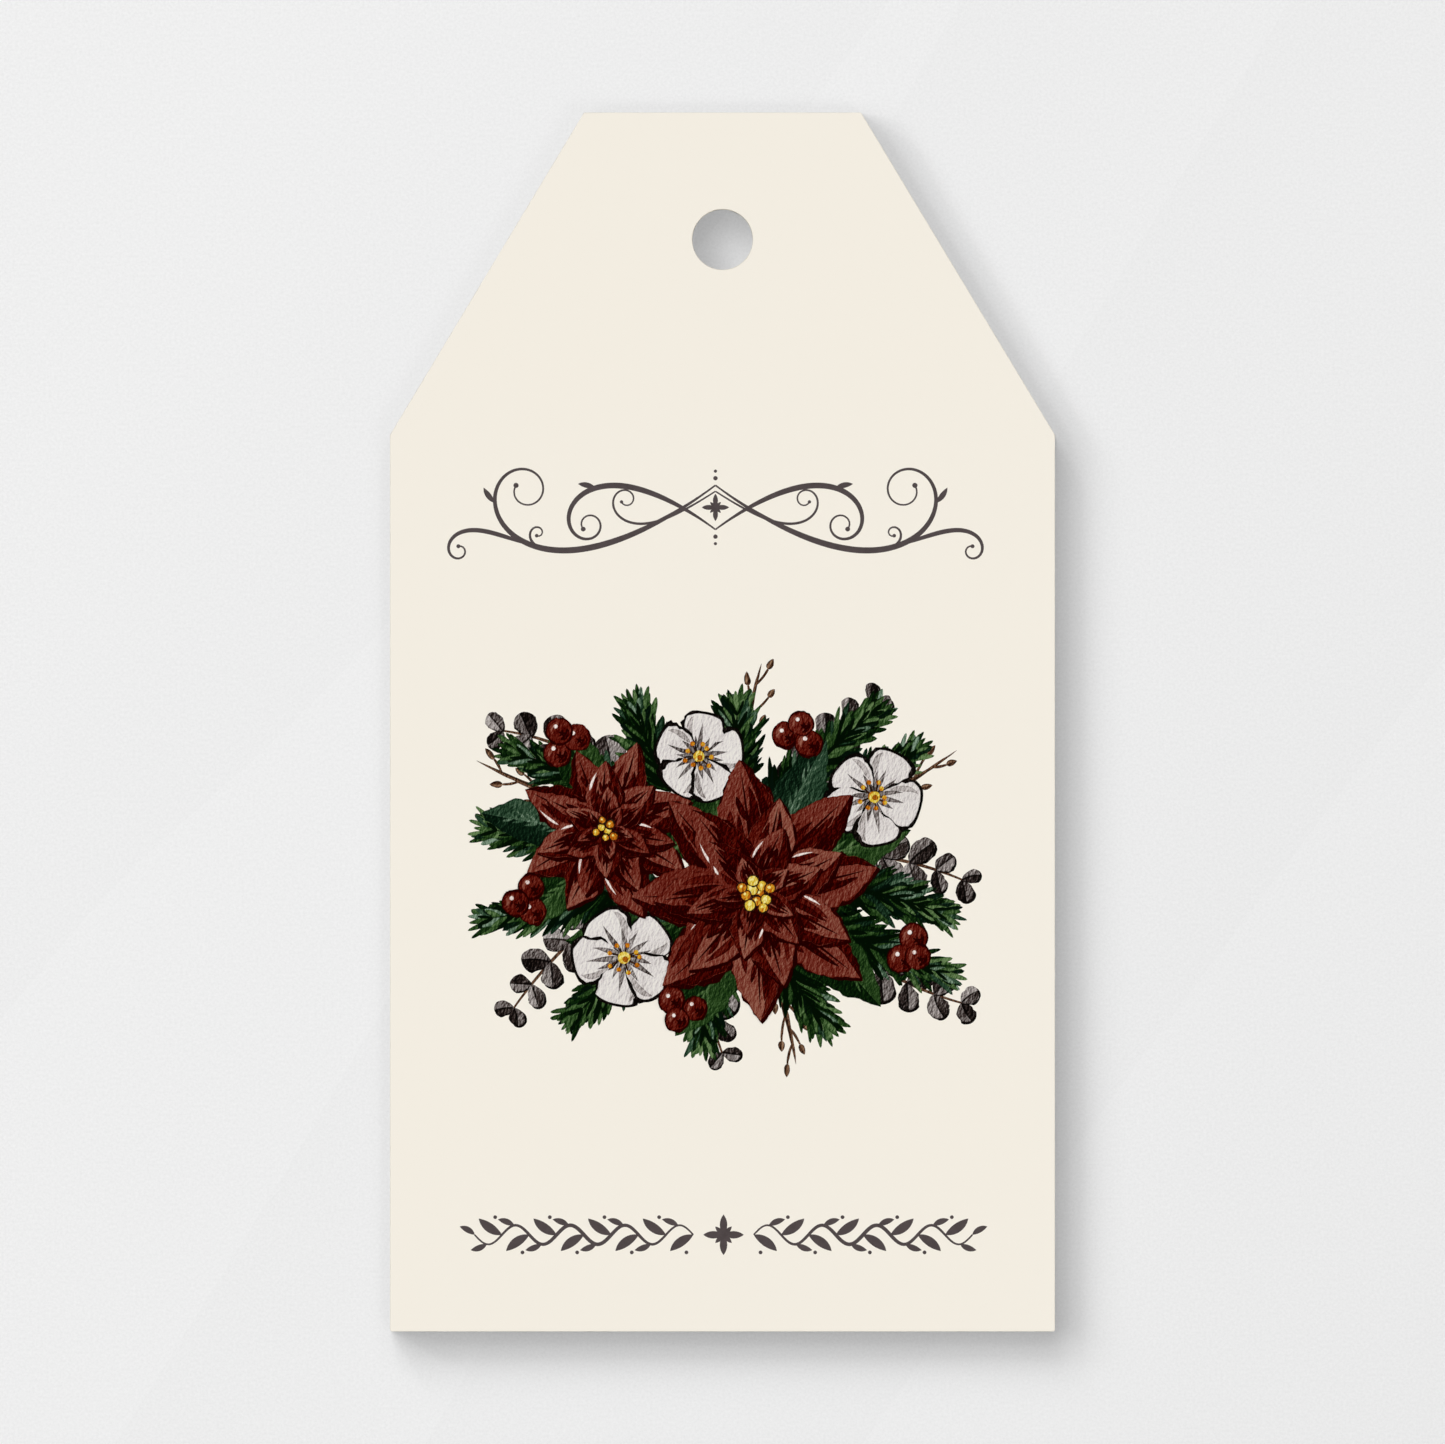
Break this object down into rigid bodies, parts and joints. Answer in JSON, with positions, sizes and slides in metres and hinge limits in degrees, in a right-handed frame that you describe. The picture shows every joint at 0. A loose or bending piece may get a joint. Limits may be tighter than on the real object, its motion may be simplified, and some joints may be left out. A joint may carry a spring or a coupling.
{
  "type": "gift tag",
  "caption": "Flat gift tag of two cream card sheets glued back to back, with slanted shoulders and a round string hole near the top edge.",
  "frame": {"origin": "centre of the tag's width and height, on its back face", "axes": "+Z out of the printed face, square to the card; +Y along the tag's height towards the string hole; +X across the width, to the right as the face is read"},
  "size_m": [0.066, 0.121, 0.0009],
  "materials": {
    "cream_card": "uncoated matt, fine tooth",
    "dried_glue": "satin",
    "green_print": "matt print",
    "maroon_print": "matt print",
    "grey_print": "matt print",
    "gold_print": "matt print",
    "dark_print": "matt print"
  },
  "bodies": {
    "root": {"front_sheet": "cream_card", "glue_film": "dried_glue", "back_sheet": "cream_card"}
  },
  "joints": []
}
